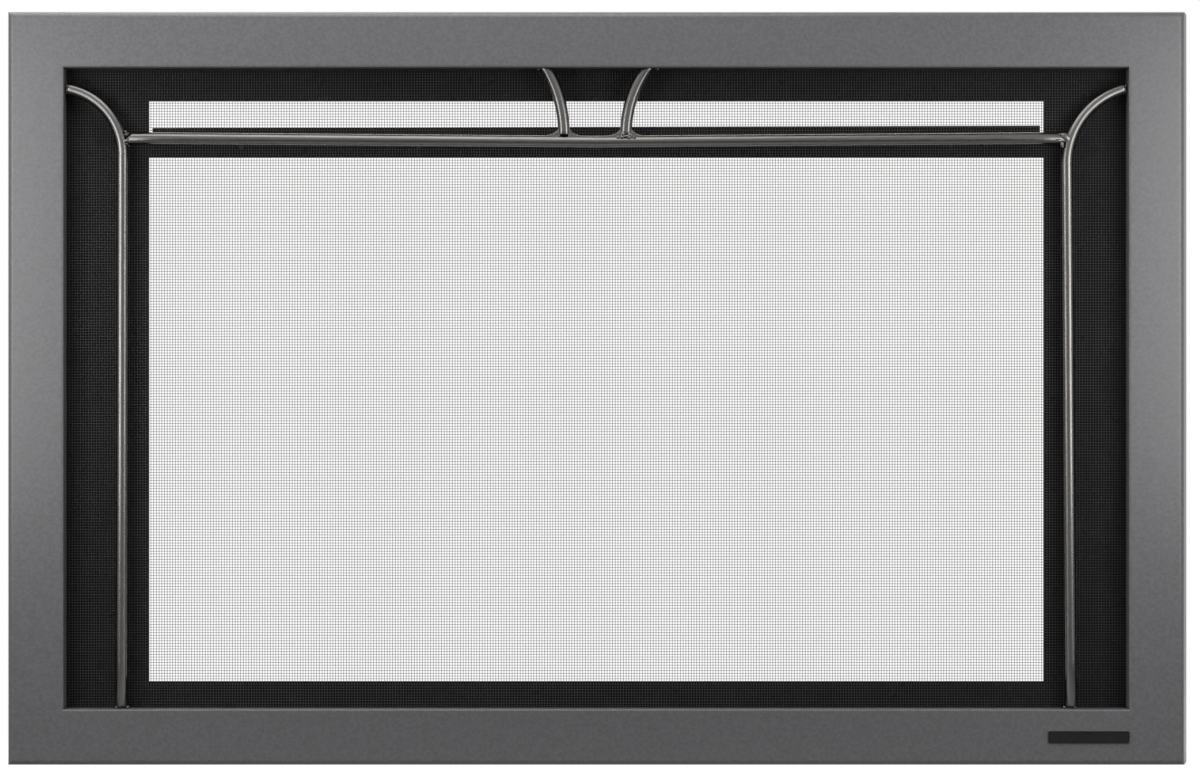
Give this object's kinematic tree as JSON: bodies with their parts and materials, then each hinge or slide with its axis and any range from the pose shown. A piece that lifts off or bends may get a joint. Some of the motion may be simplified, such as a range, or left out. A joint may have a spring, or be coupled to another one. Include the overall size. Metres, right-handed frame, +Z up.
{
  "type": "fireplace screen front",
  "caption": "Wide rectangular fireplace front: folded steel surround, welded round bars that flare to its top corners, wire cloth and a black windowed panel behind.",
  "frame": {"origin": "midway between the centres of the two hanger keyholes, in the plane of the surround's rear rim", "axes": "+X along the surround's width to the viewer's right, +Y rearwards to the fireplace, +Z up"},
  "size_m": [1.1011, 0.0397, 0.701],
  "materials": {
    "surround": "charcoal powder coat with a fine grain, satin",
    "bars": "brushed along the bar, darkened and lacquered, satin",
    "weld_metal": "brushed weld beads, darkened and lacquered, satin",
    "wire_cloth": "black woven steel wire, satin",
    "clamp_steel": "galvanised strip, dull",
    "black_panel": "black heat-resistant paint, matte",
    "black_fasteners": "black oxide, satin",
    "zinc": "bright zinc plate",
    "magnet_nickel": "nickel plate, satin",
    "plate_black": "black anodised, satin, blank",
    "adhesive": "dark double-sided adhesive film"
  },
  "bodies": {
    "root": {"face_frame": "surround", "left_stile_bar": "bars", "right_stile_bar": "bars", "cross_bar": "bars", "left_branch_bar": "bars", "right_branch_bar": "bars", "left_corner_weld": "weld_metal", "right_corner_weld": "weld_metal", "left_branch_weld": "weld_metal", "right_branch_weld": "weld_metal", "stile_foot_tacks": "weld_metal", "arm_tip_welds": "weld_metal", "branch_tip_tacks": "weld_metal", "mesh_screen": "wire_cloth", "top_clamp_strip": "clamp_steel", "bottom_clamp_strip": "clamp_steel", "left_clamp_strip": "clamp_steel", "right_clamp_strip": "clamp_steel", "back_panel": "black_panel", "panel_screws": "black_fasteners", "air_deflector": "black_panel", "deflector_rivets": "black_fasteners", "left_hanger": "zinc", "right_hanger": "zinc", "hanger_rivets": "zinc", "left_magnet": "magnet_nickel", "right_magnet": "magnet_nickel", "magnet_screws": "zinc", "name_plate": "plate_black", "name_plate_adhesive": "adhesive"}
  },
  "joints": []
}
